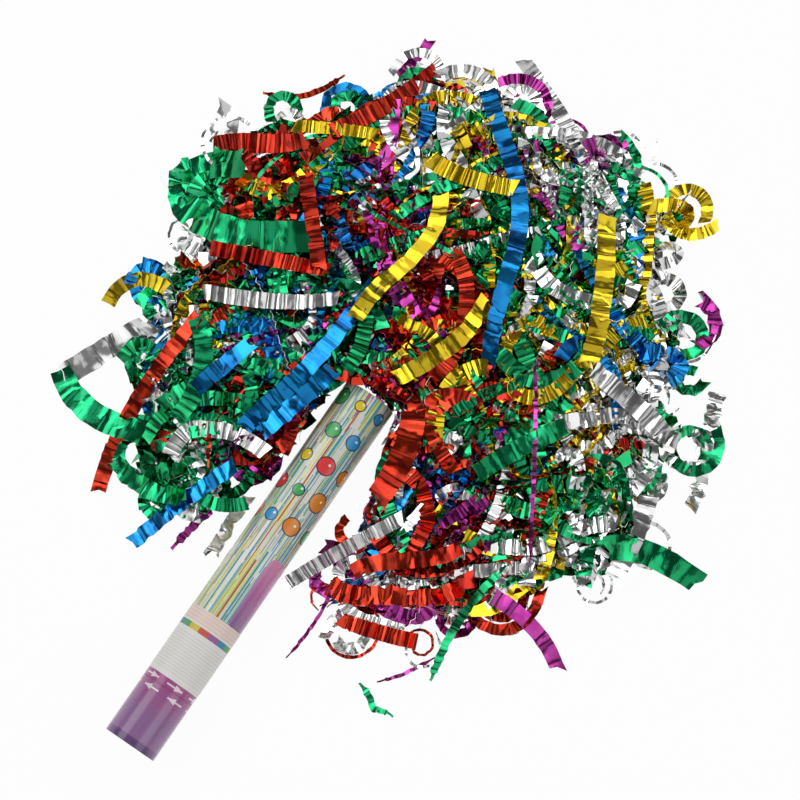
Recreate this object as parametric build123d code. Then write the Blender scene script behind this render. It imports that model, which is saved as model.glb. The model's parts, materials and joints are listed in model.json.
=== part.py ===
from build123d import *

import math
import os

# A twist-to-fire confetti popper, fired, lying on its side among the foil streamers that it threw.
# The tube runs along +X from the centre of its base face, which is the origin, to its open mouth.
# +Z is up and the tube rests on a table at minus its own radius. Lengths are in millimetres, angles
# in degrees.

# Card tube and its printed wrap
popper_length = 400.0
tube_diameter = 54.0
wrap_thickness = 0.25
card_wall = 1.7
grip_length = 62.0
seam_gap = 0.4

# Clearances
glue_gap = 0.05
running_gap = 0.08
slide_gap = 0.3
cut_overrun = 1.0

# Paper sticker round the foot of the barrel
sticker_start = 71.0
sticker_length = 72.0
sticker_thickness = 0.15
sticker_wrap_angle = 250.0

# Torn rim of the seal that closed the mouth
seal_inset = 2.5
seal_thickness = 0.4
seal_rim = 2.2
tear_depth = 1.3
tear_count = 14

# Base cap with the hexagonal socket that drives the release screw
cap_floor = 3.0
cap_skirt_length = 18.0
cap_skirt_wall = 1.8
cap_groove_radius = 17.0
cap_groove_width = 2.0
cap_groove_depth = 0.6
drive_flats = 12.0
drive_depth = 16.0
drive_boss_wall = 3.0
cap_rib_count = 6
cap_rib_thickness = 1.6

# Release screw and its nut: a third of a turn on a coarse thread
twist_angle = 120.0
thread_lead = 12.0
thread_starts = 3
thread_root_diameter = 9.0
thread_lobe_diameter = 3.2
thread_lead_in = 1.0
nut_length = 8.0
screw_head_length = 10.0
screw_head_setback = 0.4
screw_tip_diameter = 4.4
screw_tip_length = 4.0

# Sleeve that joins the grip to the barrel, and the split clip that keeps the grip on it
sleeve_in_grip = 24.0
sleeve_in_barrel = 20.0
sleeve_wall = 1.9
clip_setback = 5.0
clip_width = 2.4
clip_depth = 1.1
clip_split = 6.0

# Air cylinder, neck towards the base
cylinder_diameter = 40.0
cylinder_length = 112.0
cylinder_wall = 1.4
shoulder_length = 10.0
shoulder_round = 4.0
cylinder_end_round = 7.0
neck_diameter = 18.0
neck_length = 14.0
neck_lip_round = 0.5

# Valve in the neck
collar_clearance = 0.8
collar_wall = 1.0
collar_skirt = 7.0
collar_hole_diameter = 9.0
valve_body_length = 11.0
valve_bore_diameter = 6.0
stem_diameter = 5.0
stem_head_diameter = 11.2
stem_head_length = 3.0
valve_seal_diameter = 10.4
valve_seal_thickness = 2.0
o_ring_section = 2.0
o_ring_groove_width = 2.4
o_ring_setback = 4.0

# Cradles that hold the cylinder, and the plate that spreads the air behind the wad
cradle_length = 8.0
rear_cradle_setback = 8.0
front_cradle_setback = 12.0
flute_diameter = 5.0
flute_count = 8
diffuser_gap = 0.5
diffuser_thickness = 3.0
diffuser_hole_diameter = 7.0
diffuser_hole_circle = 30.0
diffuser_hole_count = 8

# Wad that drives the streamers out
wad_card_thickness = 2.0
wad_foam_thickness = 12.0
wad_foam_inset = 0.3

# Foil streamers: crinkled strips laid in layers over a low dome round the mouth
heap_ahead = 45.0
heap_aside = 40.0
heap_radius = 350.0
heap_height = 72.0
heap_reach_share = 0.85
heap_core_height = 10.0
streamer_width = 15.0
streamer_spacing = 72.0
streamer_least_length = 260.0
streamer_length_spread = 220.0
foil_thickness = 0.3
fold_length = 10.0
fold_height = 1.8
least_folds = 12
layer_count = 17
layer_turn = 101.0
streamer_clearance = 3.0
broad_width = 25.0
curl_width = 10.0
thread_width = 5.0
rest_gap = 0.2
stack_step = 1.0
stack_tolerance = 0.05
stack_rounds = 5
golden_share = (math.sqrt(5) - 1) / 2
foil_colours = ("red", "green", "blue", "gold", "silver", "magenta")

# The tube's ends in the photograph, in pixels, which give its scale and direction
base_pixel = Vector(129.6, 745.0)
mouth_pixel = Vector(369.6, 398.0)

# The heap's outline in the photograph, in pixels
heap_outline_pixels = [
    (420, 78), (470, 84), (520, 112), (575, 135), (618, 160), (655, 190), (684, 215), (650, 255),
    (655, 300), (690, 340), (684, 380), (650, 400), (690, 450), (650, 490), (640, 545), (590, 585),
    (530, 590), (505, 612), (455, 620), (420, 640), (350, 630), (325, 598), (345, 555), (370, 510),
    (385, 460), (398, 425), (370, 400), (340, 395), (292, 440), (262, 480), (232, 462), (190, 500),
    (150, 505), (125, 460), (150, 420), (130, 365), (165, 310), (140, 285), (195, 240), (205, 190),
    (235, 165), (225, 135), (290, 122), (350, 112),
]

# Streamers that show whole in the photograph: colour, width and the pixels that each passes over
laid_streamers = {
    "red_far_left": ("red", streamer_width, [(196, 318), (165, 358), (135, 400), (112, 445), (98, 492)]),
    "blue_low_left": ("blue", streamer_width, [(234, 466), (195, 492), (162, 516), (130, 545)]),
    "blue_by_tube": ("blue", streamer_width, [(372, 286), (345, 325), (315, 360), (288, 388), (243, 428)]),
    "blue_mouth": ("blue", streamer_width, [(330, 372), (312, 390), (290, 408), (262, 432)]),
    "gold_bent": ("gold", streamer_width, [(441, 196), (440, 222), (425, 245), (372, 290), (355, 318)]),
    "gold_to_mouth": ("gold", streamer_width, [(486, 300), (470, 332), (440, 354), (416, 368)]),
    "blue_long": ("blue", streamer_width, [(487, 90), (514, 165), (522, 205), (504, 285), (488, 364)]),
    "gold_upright": ("gold", streamer_width, [(607, 218), (607, 262), (602, 305), (588, 366)]),
    "gold_top": ("gold", streamer_width, [(434, 162), (460, 178), (486, 183), (514, 188)]),
    "green_loop": ("green", broad_width, [(240, 163), (200, 162), (176, 186), (186, 212), (306, 236)]),
    "silver_leaf": ("silver", broad_width, [(145, 326), (104, 350), (62, 377)]),
    "green_leaf": ("green", broad_width, [(66, 378), (76, 408), (106, 424), (140, 432)]),
    "red_top_left": ("red", streamer_width, [(335, 130), (382, 112), (412, 90), (442, 66)]),
    "red_left_top": ("red", streamer_width, [(216, 146), (248, 138), (276, 150), (306, 138)]),
    "silver_top": ("silver", streamer_width, [(526, 64), (545, 92), (560, 112), (574, 138)]),
    "silver_right": ("silver", streamer_width, [(596, 372), (622, 394), (645, 412), (664, 434)]),
    "silver_far_right": ("silver", streamer_width, [(718, 392), (706, 430), (712, 465), (690, 508)]),
    "green_low_right": ("green", broad_width, [(694, 580), (665, 560), (640, 545), (606, 548)]),
    "green_across": ("green", streamer_width, [(476, 474), (505, 455), (535, 440), (566, 426)]),
    "red_by_tube": ("red", broad_width, [(420, 418), (424, 450), (414, 484), (392, 508)]),
    "red_low_one": ("red", streamer_width, [(328, 590), (365, 602), (400, 590), (440, 602), (474, 584)]),
    "red_low_two": ("red", streamer_width, [(342, 620), (378, 634), (418, 642)]),
    "red_low_three": ("red", streamer_width, [(346, 560), (388, 576), (430, 558), (466, 566)]),
    "magenta_low": ("magenta", streamer_width, [(496, 598), (525, 615), (548, 640), (558, 670)]),
    "green_trail": ("green", curl_width, [(504, 568), (470, 600), (445, 635), (430, 684)]),
    "pink_trail_one": ("magenta", thread_width, [(332, 588), (320, 622), (286, 658)]),
    "pink_trail_two": ("magenta", thread_width, [(434, 658), (402, 678), (376, 682)]),
    "pink_by_tube": ("magenta", curl_width, [(172, 548), (195, 524), (218, 502)]),
    "magenta_thread": ("magenta", thread_width, [(535, 358), (538, 430), (532, 500), (530, 564)]),
    "silver_by_red": ("silver", streamer_width, [(286, 584), (320, 562), (352, 545), (402, 518)]),
    "silver_by_tube": ("silver", curl_width, [(212, 554), (224, 530), (238, 512), (248, 496)]),
    "gold_ring": ("gold", curl_width, [(654, 206), (682, 202), (696, 216), (682, 230), (658, 224)]),
    "silver_ring": ("silver", curl_width, [(662, 272), (686, 266), (684, 248), (660, 244)]),
    "blue_clump": ("blue", streamer_width, [(636, 352), (668, 348), (696, 362), (668, 382)]),
    "pink_clump": ("magenta", streamer_width, [(700, 300), (726, 316), (718, 340), (696, 346)]),
    "gold_crown": ("gold", streamer_width, [(298, 126), (338, 128), (376, 134)]),
    "red_upright": ("red", streamer_width, [(306, 178), (312, 222), (320, 270)]),
    "silver_band": ("silver", streamer_width, [(206, 292), (250, 300), (292, 306), (338, 298)]),
    "red_band": ("red", streamer_width, [(212, 248), (250, 256), (290, 262), (328, 270)]),
    "gold_curl_left": ("gold", streamer_width, [(108, 304), (118, 280), (144, 270), (168, 290)]),
    "blue_left": ("blue", streamer_width, [(196, 388), (222, 366), (248, 346)]),
    "green_left": ("green", streamer_width, [(176, 420), (200, 392), (214, 350), (196, 318)]),
    "silver_low_right": ("silver", streamer_width, [(648, 500), (636, 540), (612, 580)]),
    "magenta_top": ("magenta", curl_width, [(584, 150), (604, 136), (632, 140), (622, 162)]),
    "red_crown": ("red", curl_width, [(262, 92), (290, 104), (318, 96), (346, 74)]),
    "magenta_crown": ("magenta", curl_width, [(398, 78), (412, 62), (428, 44)]),
}

# Radii of the tube's layers
wrap_radius = tube_diameter / 2
card_radius = wrap_radius - wrap_thickness - glue_gap
bore_radius = card_radius - card_wall
glued_radius = bore_radius - glue_gap
running_radius = bore_radius - running_gap

# Places along the tube, from the base up
barrel_start = grip_length + seam_gap
seal_start = popper_length - seal_inset - seal_thickness
sleeve_start = grip_length - sleeve_in_grip
sleeve_inner_radius = glued_radius - sleeve_wall
clip_start = sleeve_start + clip_setback
release_travel = thread_lead * twist_angle / 360
nut_end = sleeve_start + nut_length
screw_head_start = cap_floor + screw_head_setback
thread_start = sleeve_start - release_travel - thread_lead_in
thread_end = nut_end + thread_lead_in
screw_end = thread_end + screw_tip_length
stem_start = screw_end + slide_gap
collar_start = thread_end + release_travel + collar_clearance
neck_start = collar_start + collar_wall + glue_gap
neck_radius = neck_diameter / 2
valve_body_radius = neck_radius - cylinder_wall - glue_gap
valve_body_end = neck_start + valve_body_length
valve_seal_start = valve_body_end + glue_gap
stem_head_start = valve_seal_start + valve_seal_thickness + glue_gap
cylinder_end = neck_start + cylinder_length
cylinder_body_start = neck_start + neck_length + shoulder_length
rear_cradle_start = cylinder_body_start + rear_cradle_setback
front_cradle_start = cylinder_end - front_cradle_setback - cradle_length
diffuser_start = cylinder_end + diffuser_gap
wad_start = diffuser_start + diffuser_thickness + slide_gap
wad_foam_start = wad_start + wad_card_thickness + glue_gap
wad_travel = seal_start - slide_gap - wad_foam_start - wad_foam_thickness

# Dome that the streamers follow
table_height = -wrap_radius
dome_depth = (heap_radius**2 - heap_height**2) / (2 * heap_height)
dome_centre = Vector(popper_length + heap_ahead, -heap_aside, table_height - dome_depth)
layer_pitch = fold_height + foil_thickness + rest_gap

# The photograph's scale and the tube's direction in it
photo_scale = popper_length / (mouth_pixel - base_pixel).length
photo_axis = (mouth_pixel - base_pixel).normalized()


def disc(radius, start, length):
    """A round block on the tube's axis."""
    return extrude(Plane.YZ.offset(start) * Circle(radius), amount=length)


def ring(inner_radius, outer_radius, start, length):
    """A plain ring on the tube's axis."""
    return extrude(Plane.YZ.offset(start) * (Circle(outer_radius) - Circle(inner_radius)), amount=length)


def holes(radius, circle_radius, count, start, length):
    """A circle of round cutters, running past both faces of what they cut."""
    section = Sketch() + PolarLocations(circle_radius, count) * Circle(radius)
    return extrude(Plane.YZ.offset(start - cut_overrun) * section, amount=length + 2 * cut_overrun)


def barrel_tube():
    return ring(bore_radius, card_radius, barrel_start, popper_length - barrel_start)


def barrel_wrap():
    return ring(card_radius + glue_gap, wrap_radius, barrel_start, popper_length - barrel_start)


def grip_tube():
    return ring(bore_radius, card_radius, 0, grip_length)


def grip_wrap():
    return ring(card_radius + glue_gap, wrap_radius, 0, grip_length)


def barrel_sticker():
    """A paper strip that covers the top and sides of the barrel and stops short of the table."""
    inner_radius = wrap_radius + glue_gap
    section = Pos(sticker_start, inner_radius) * Rectangle(sticker_length, sticker_thickness, align=Align.MIN)
    strip = revolve(section, Axis.X, revolution_arc=sticker_wrap_angle)
    return strip.rotate(Axis.X, (180 - sticker_wrap_angle) / 2)


def mouth_seal_rim():
    """The glued rim of the burst seal, with a torn inner edge."""
    rim_radius = glued_radius - seal_rim
    tear_radii = (rim_radius, rim_radius - tear_depth)
    corners = [
        Vector(tear_radii[corner % 2], 0).rotate(Axis.Z, 180 * corner / tear_count)
        for corner in range(2 * tear_count)
    ]
    section = Circle(glued_radius) - make_face(Polyline(*corners, close=True))
    return extrude(Plane.YZ.offset(seal_start) * section, amount=seal_thickness)


def base_cap():
    """A moulded cap, flush with the grip's end, with a ribbed boss round the drive socket."""
    boss_radius = (drive_flats / 2 + slide_gap) / math.cos(math.radians(30)) + drive_boss_wall
    skirt_radius = glued_radius - cap_skirt_wall
    cap = disc(glued_radius, 0, cap_floor)
    cap += ring(skirt_radius, glued_radius, 0, cap_skirt_length)
    cap += disc(boss_radius, 0, cap_floor + drive_depth)
    rib_length = skirt_radius + cap_skirt_wall / 2
    rib = Rectangle(rib_length, cap_rib_thickness, align=(Align.MIN, Align.CENTER))
    ribs = Sketch() + PolarLocations(0, cap_rib_count) * rib
    cap += extrude(Plane.YZ * ribs, amount=cap_skirt_length)
    socket = RegularPolygon(drive_flats / 2 + slide_gap, 6, major_radius=False)
    cap -= extrude(Plane.YZ.offset(cap_floor) * socket, amount=drive_depth + cut_overrun)
    groove_edge = cap_groove_radius + cap_groove_width
    return cap - ring(cap_groove_radius, groove_edge, 0, cap_groove_depth)


def coarse_thread(clearance):
    """The screw's three-start thread, or with a clearance the space that it runs in."""
    root_radius = thread_root_diameter / 2
    section = Circle(root_radius + clearance)
    section += PolarLocations(root_radius, thread_starts) * Circle(thread_lobe_diameter / 2 + clearance)
    length = thread_end - thread_start
    placed = Plane.YZ.offset(thread_start) * section
    turn = 360 * length / thread_lead
    return Solid.extrude_linear_with_rotation(placed.face(), (thread_start, 0, 0), (length, 0, 0), turn)


def release_screw():
    """Hexagonal head, shank, coarse thread and the tip that pushes the valve stem."""
    head = RegularPolygon(drive_flats / 2, 6, major_radius=False)
    screw = extrude(Plane.YZ.offset(screw_head_start) * head, amount=screw_head_length)
    shank_start = screw_head_start + screw_head_length
    screw += disc(thread_root_diameter / 2, shank_start, thread_start - shank_start)
    screw += coarse_thread(0)
    return screw + disc(screw_tip_diameter / 2, thread_end, screw_tip_length)


def release_nut():
    return disc(sleeve_inner_radius - glue_gap, sleeve_start, nut_length) - coarse_thread(slide_gap)


def joint_sleeve():
    """Glued in the barrel, with a grooved end that the grip turns on."""
    sleeve = ring(sleeve_inner_radius, running_radius, sleeve_start, barrel_start - sleeve_start)
    sleeve += ring(sleeve_inner_radius, glued_radius, barrel_start, sleeve_in_barrel)
    groove_radius = running_radius - clip_depth
    return sleeve - ring(groove_radius, glued_radius, clip_start, clip_width)


def grip_clip():
    """A split ring, glued in the grip, that runs in the sleeve's groove."""
    inner_radius = running_radius - clip_depth + running_gap
    clip = ring(inner_radius, glued_radius, clip_start + slide_gap, clip_width - 2 * slide_gap)
    split = Rectangle(tube_diameter, clip_split, align=(Align.MIN, Align.CENTER))
    return clip - extrude(Plane.YZ.offset(clip_start) * split, amount=clip_width)


def bottle(inset, start):
    """The air cylinder's round form, drawn in by an inset, from a given start."""
    radius = cylinder_diameter / 2 - inset
    throat = neck_radius - inset
    end = cylinder_end - inset
    shoulder = neck_start + neck_length
    outline = FilletPolyline(
        (start, 0),
        (start, throat),
        (shoulder, throat),
        (cylinder_body_start, radius),
        (end, radius),
        (end, 0),
        radius=[neck_lip_round, shoulder_round, shoulder_round, cylinder_end_round],
    )
    return revolve(make_face(outline + Line((end, 0), (start, 0))), Axis.X)


def air_cylinder():
    return bottle(0, neck_start) - bottle(cylinder_wall, neck_start - cut_overrun)


def valve_body():
    """A plug in the cylinder's neck, bored for the stem and grooved for its O-ring."""
    groove_radius = valve_body_radius - o_ring_section - glue_gap
    body = ring(valve_bore_diameter / 2, valve_body_radius, neck_start, valve_body_length)
    groove_start = neck_start + o_ring_setback
    return body - ring(groove_radius, neck_radius, groove_start, o_ring_groove_width)


def neck_o_ring():
    centre = neck_start + o_ring_setback + o_ring_groove_width / 2
    mean_radius = valve_body_radius - o_ring_section / 2
    return revolve(Pos(centre, mean_radius) * Circle(o_ring_section / 2 - glue_gap), Axis.X)


def neck_collar():
    """A crimped cap over the neck that keeps the valve body in."""
    inner_radius = neck_radius + glue_gap
    outer_radius = inner_radius + collar_wall
    skirt = ring(inner_radius, outer_radius, collar_start, collar_wall + glue_gap + collar_skirt)
    return skirt + ring(collar_hole_diameter / 2, outer_radius, collar_start, collar_wall)


def valve_stem():
    head_end = stem_head_start + stem_head_length
    stem = disc(stem_diameter / 2, stem_start, head_end - stem_start)
    return stem + disc(stem_head_diameter / 2, stem_head_start, stem_head_length)


def valve_seal():
    inner_radius = stem_diameter / 2 + glue_gap
    return ring(inner_radius, valve_seal_diameter / 2, valve_seal_start, valve_seal_thickness)


def cradle(start):
    """A fluted ring that holds the cylinder in the barrel and lets the air past."""
    body = ring(cylinder_diameter / 2 + glue_gap, glued_radius, start, cradle_length)
    return body - holes(flute_diameter / 2, glued_radius, flute_count, start, cradle_length)


def air_diffuser():
    """A plate with a ring of holes and one in the middle."""
    plate = disc(glued_radius, diffuser_start, diffuser_thickness)
    hole_radius = diffuser_hole_diameter / 2
    circle_radius = diffuser_hole_circle / 2
    plate -= holes(hole_radius, circle_radius, diffuser_hole_count, diffuser_start, diffuser_thickness)
    return plate - holes(hole_radius, 0, 1, diffuser_start, diffuser_thickness)


def wad_card():
    return disc(bore_radius - slide_gap, wad_start, wad_card_thickness)


def wad_foam():
    return disc(bore_radius - slide_gap - wad_foam_inset, wad_foam_start, wad_foam_thickness)


def spread_share(number):
    """An even but unordered series of shares from 0 to 1."""
    return number * golden_share % 1


def on_table(pixel):
    """A pixel's place on the table, from the tube's base."""
    offset = Vector(*pixel) - base_pixel
    return Vector(offset.dot(photo_axis), photo_axis.cross(offset).Z * -1) * photo_scale


heap_outline = [on_table(pixel) for pixel in heap_outline_pixels]


def beside_tube(point, width):
    """Whether a strip's centre line comes too near the tube or the air over it."""
    reach = wrap_radius + width / 2 + streamer_clearance
    return abs(point.Y) < reach and point.X < popper_length + streamer_clearance + width / 2


def on_heap(point):
    """Whether a point lies inside the heap's outline, seen from above."""
    inside = False
    for one, other in zip(heap_outline, heap_outline[1:] + heap_outline[:1]):
        if (one.Y > point.Y) != (other.Y > point.Y):
            share = (point.Y - one.Y) / (other.Y - one.Y)
            if point.X < one.X + (other.X - one.X) * share:
                inside = not inside
    return inside


heap_tops = {}


def cell(x, y):
    return round(x / stack_step), round(y / stack_step)


def strip_points(rows):
    """Points all over a strip, each with its fold's rise, from rows of a fold's rise and its two ends."""
    for (rise, left, right), (next_rise, next_left, next_right) in zip(rows, rows[1:]):
        along = math.ceil(math.dist(left, next_left) / stack_step)
        across = math.ceil(math.dist(left, right) / stack_step)
        for step in range(along + 1):
            share = step / along
            x, y, z = [one + (other - one) * share for one, other in zip(left, next_left)]
            far_x, far_y, far_z = [one + (other - one) * share for one, other in zip(right, next_right)]
            fold_rise = rise + (next_rise - rise) * share
            for side_step in range(across + 1):
                side = side_step / across
                yield x + (far_x - x) * side, y + (far_y - y) * side, z + (far_z - z) * side, fold_rise


def resting_radius(rows):
    """The radius about the dome's centre at which a strip's valleys clear what it crosses, 0 for nothing."""
    centre_x, centre_y, centre_z = dome_centre
    radius = 0
    for x, y, _, fold_rise in strip_points(rows):
        top = heap_tops.get(cell(x, y))
        if top is not None:
            height = top + rest_gap + foil_thickness - fold_rise - centre_z
            radius = max(radius, math.hypot(x - centre_x, y - centre_y, height))
    return radius


def stack(rows):
    """Makes a strip part of the heap's top."""
    for x, y, z, _ in strip_points(rows):
        place = cell(x, y)
        heap_tops[place] = max(z, heap_tops.get(place, z))


def crinkled_strip(plane, valley, run):
    """A folded strip about the dome's centre, through the run's turns from the plane's X axis."""
    top_edge = []
    bottom_edge = []
    for fold, turn in run:
        direction = Vector(math.cos(turn), math.sin(turn))
        height = valley + fold_height * (fold % 2)
        top_edge.append(direction * height)
        bottom_edge.append(direction * (height - foil_thickness))
    outline = Polyline(*top_edge, *reversed(bottom_edge), close=True)
    return extrude(plane * make_face(outline), amount=streamer_width / 2, both=True)


def strip_rows(plane, valley, run):
    """The rise and the two ends of each fold of a strip."""
    rows = []
    for fold, turn in run:
        rise = fold_height * (fold % 2)
        middle = Vector(math.cos(turn), math.sin(turn)) * (valley + rise)
        half = Vector(0, 0, streamer_width / 2)
        rows.append((rise, *[tuple(plane.from_local_coords(end)) for end in (middle + half, middle - half)]))
    return rows


def longest_run(folds, clear):
    """The longest stretch of a strip's folds that are all clear."""
    runs = [[]]
    for fold in folds:
        if clear(fold):
            runs[-1].append(fold)
        else:
            runs.append([])
    return max(runs, key=len)


def clear_run(plane, valley, turns):
    """The longest stretch of a strip that lies on the heap, over the table and clear of the tube."""
    dip = abs(plane.z_dir.Z) * streamer_width / 2 + foil_thickness

    def clear(fold):
        turn = fold[1]
        point = plane.from_local_coords((valley * math.cos(turn), valley * math.sin(turn)))
        sunk = point.Z - dip < table_height - stack_tolerance
        return not sunk and not beside_tube(point, streamer_width) and on_heap(point)

    return longest_run(turns, clear)


def strip_course(radius, heading, offset, length):
    """A strip's plane and folds: from the table it climbs over a dome of that radius, off its middle."""
    aside = heading.rotate(Axis.Z, 90)
    middle = (aside * offset + Vector(0, 0, math.sqrt(radius**2 - offset**2))).normalized()
    side = middle.cross(heading)
    plane = Plane(origin=dome_centre, x_dir=middle, z_dir=side)

    # The lower edge of the first valley meets the table
    drop = dome_depth + abs(side.Z) * streamer_width / 2 + foil_thickness
    table_turn = math.acos(drop / radius / middle.Z)
    span = min(length / radius, 2 * table_turn)
    fold_count = 2 * round(span * radius / fold_length / 2)
    return plane, [(fold, span * fold / fold_count - table_turn) for fold in range(fold_count + 1)]


def crossing_streamer(radius, heading, offset, length):
    """A straight strip as low as the strips that it crosses let it lie, or nothing where it can't rest."""
    plane, turns = strip_course(radius, heading, offset, length)
    valley = math.hypot(offset / heap_reach_share, dome_depth + heap_core_height)
    rounds = 0
    settled = False
    while not settled:
        run = clear_run(plane, valley, turns)
        rows = strip_rows(plane, valley, run)
        rest = resting_radius(rows)
        rounds += 1
        fall = valley - (rest or radius)
        settled = fall > -stack_tolerance and (fall < stack_tolerance or rounds > stack_rounds)
        if not settled:
            valley -= fall
    carried = rest > 0 or run and run[0][0] == 0
    if len(run) <= least_folds or not carried:
        return []
    stack(rows)
    return [crinkled_strip(plane, valley, run)]


def streamer_layer(layer):
    """Strips side by side across the dome, turned from one layer to the next."""
    radius = dome_depth + heap_height - (layer_count - layer) * layer_pitch
    heading = Vector(1, 0).rotate(Axis.Z, layer * layer_turn)
    reach = heap_reach_share * math.sqrt(radius**2 - dome_depth**2)
    count = round(2 * reach / streamer_spacing)
    strips = []
    for number in range(count):
        offset = reach * (2 * (number + spread_share(layer + number)) / count - 1)
        length = streamer_least_length + streamer_length_spread * spread_share(layer * count + number)
        strips += crossing_streamer(radius, heading, offset, length)
    return strips


def over(place, radius, rise):
    """A point over a place: on a dome of that radius, or on the table beside it."""
    across = math.hypot(place.X - dome_centre.X, place.Y - dome_centre.Y)
    dome = dome_centre.Z + math.sqrt(max(radius**2 - across**2, 0))
    return place.X, place.Y, max(dome, table_height + foil_thickness) + rise


def draped(folds, radius):
    """Rows of folds over their places, on a dome of that radius."""
    return [(rise, over(left, radius, rise), over(right, radius, rise)) for rise, left, right in folds]


def folded_ribbon(rows):
    """A closed strip of flat facets through rows of folds."""
    down = Vector(0, 0, -foil_thickness)
    ends = [(Vector(*left), Vector(*right)) for _, left, right in rows]
    outlines = [(left, right, right + down, left + down) for left, right in (ends[0], ends[-1])]
    for (left, right), (next_left, next_right) in zip(ends, ends[1:]):
        for facet in ((left, right, next_right), (left, next_right, next_left)):
            outlines += [facet, [corner + down for corner in facet]]
        for edge, next_edge in ((left, next_left), (right, next_right)):
            outlines.append((edge, next_edge, next_edge + down, edge + down))
    return Solid(Shell([Face(Wire.make_polygon(outline)) for outline in outlines]))


def laid_streamer(width, pixels):
    """A streamer along a photographed line, clear of the tube, laid on the streamers that it crosses."""
    route = Spline(*[on_table(pixel) for pixel in pixels])
    fold_count = 2 * round(route.length / fold_length / 2)
    folds = []
    for fold in range(fold_count + 1):
        middle = route @ (fold / fold_count)
        half = (route % (fold / fold_count)).rotate(Axis.Z, 90) * (width / 2)
        folds.append((fold_height * (fold % 2), middle + half, middle - half))
    folds = longest_run(folds, lambda fold: not beside_tube((fold[1] + fold[2]) / 2, width))
    if len(folds) < 2:
        return []
    radius = max(resting_radius(draped(folds, dome_depth)), dome_depth)
    rows = draped(folds, radius)
    stack(rows)
    return [folded_ribbon(rows)]


streamers = {colour: [] for colour in foil_colours}
crossing = [strip for layer in range(layer_count) for strip in streamer_layer(layer)]
for number, strip in enumerate(crossing):
    streamers[foil_colours[number % len(foil_colours)]].append(strip)
for colour, width, pixels in laid_streamers.values():
    streamers[colour] += laid_streamer(width, pixels)

pieces = {
    "barrel_tube": barrel_tube(),
    "barrel_wrap": barrel_wrap(),
    "barrel_sticker": barrel_sticker(),
    "mouth_seal_rim": mouth_seal_rim(),
    "grip_tube": grip_tube(),
    "grip_wrap": grip_wrap(),
    "base_cap": base_cap(),
    "release_screw": release_screw(),
    "release_nut": release_nut(),
    "joint_sleeve": joint_sleeve(),
    "grip_clip": grip_clip(),
    "air_cylinder": air_cylinder(),
    "valve_body": valve_body(),
    "neck_o_ring": neck_o_ring(),
    "neck_collar": neck_collar(),
    "valve_stem": valve_stem(),
    "valve_seal": valve_seal(),
    "rear_cradle": cradle(rear_cradle_start),
    "front_cradle": cradle(front_cradle_start),
    "air_diffuser": air_diffuser(),
    "wad_card": wad_card(),
    "wad_foam": wad_foam(),
}
for colour in foil_colours:
    pieces["streamers_" + colour] = Compound(streamers[colour])

os.makedirs("parts", exist_ok=True)
for name, piece in pieces.items():
    export_step(piece, os.path.join("parts", name + ".step"))
print(f"release travel {release_travel:.3f} mm, wad travel {wad_travel:.3f} mm")
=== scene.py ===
import json
import random
from math import cos, hypot, log, pi, radians, sin

import bmesh
import bpy
from mathutils import Matrix, Vector


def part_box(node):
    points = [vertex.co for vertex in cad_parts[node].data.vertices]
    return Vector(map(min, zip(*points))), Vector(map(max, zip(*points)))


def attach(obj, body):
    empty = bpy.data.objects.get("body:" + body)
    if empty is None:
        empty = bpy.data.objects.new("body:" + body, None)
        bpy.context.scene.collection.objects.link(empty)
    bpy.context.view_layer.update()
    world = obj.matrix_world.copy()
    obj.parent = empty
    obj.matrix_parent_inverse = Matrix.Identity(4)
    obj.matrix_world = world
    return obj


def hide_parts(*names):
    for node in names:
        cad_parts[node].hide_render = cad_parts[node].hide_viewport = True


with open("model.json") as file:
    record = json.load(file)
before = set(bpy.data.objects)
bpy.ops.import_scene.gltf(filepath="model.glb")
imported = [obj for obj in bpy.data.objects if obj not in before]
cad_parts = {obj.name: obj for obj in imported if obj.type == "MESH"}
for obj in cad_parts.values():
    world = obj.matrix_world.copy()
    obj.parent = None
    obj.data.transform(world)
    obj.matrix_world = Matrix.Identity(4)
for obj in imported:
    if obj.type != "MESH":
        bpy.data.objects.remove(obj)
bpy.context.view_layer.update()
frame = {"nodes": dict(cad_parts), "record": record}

# Prints and finishes round the tube are laid out in millimetres
per_metre = 1000

# Camera, found from the tube's ends and edges in the photo
photo_side = 800
lens, sensor = 125.1, 36.0
view_azimuth, view_elevation = radians(-55.91), radians(79)
view_distance = 2.668
view_aim = Vector((0.4147, -0.0253, 0))
focal_pixels = lens / sensor * photo_side

# Tube, read from the frame
wrap_low, wrap_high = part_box("barrel_wrap")
grip_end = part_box("grip_wrap")[1].x
sticker_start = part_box("barrel_sticker")[0].x
tube_radius = wrap_high.z
tube_girth = 2 * pi * tube_radius * per_metre
table = wrap_low.z
mouth = wrap_high.x

# Streamer heap: a low dome on the table in front of the mouth
heap_centre = Vector((0.445, -0.040, 0))
heap_reach = 0.345
heap_edge_rise = 0.008
heap_crown_rise = 0.070

# Room left beside the tube, in front of its mouth and under the folds
tube_clearance = 0.003
mouth_gap = 0.0012
mouth_width_share = 0.6
fold_clearance = 0.0042

# Strips: width, fold, fold rise, columns across, unevenness
strip_kinds = {
    "accordion": (0.0152, 0.0046, 0.0013, 1, 0.0005),
    "flat": (0.0160, 0.0094, 0.0014, 2, 0.0010),
    "crumpled": (0.0148, 0.0078, 0.0026, 2, 0.0028),
    "wide": (0.0300, 0.0140, 0.0017, 3, 0.0018),
    "thread": (0.0042, 0.0070, 0.0009, 1, 0.0008),
    "shred": (0.0080, 0.0060, 0.0018, 1, 0.0020),
}
strip_lengths = (0.06, 0.09, 0.13, 0.19, 0.27, 0.38)
strip_variants = 2
foil_wall = 0.00025
strip_share_of_route = 0.985
route_resolution, route_order = 8, 4
crease_angle = radians(50)

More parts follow.
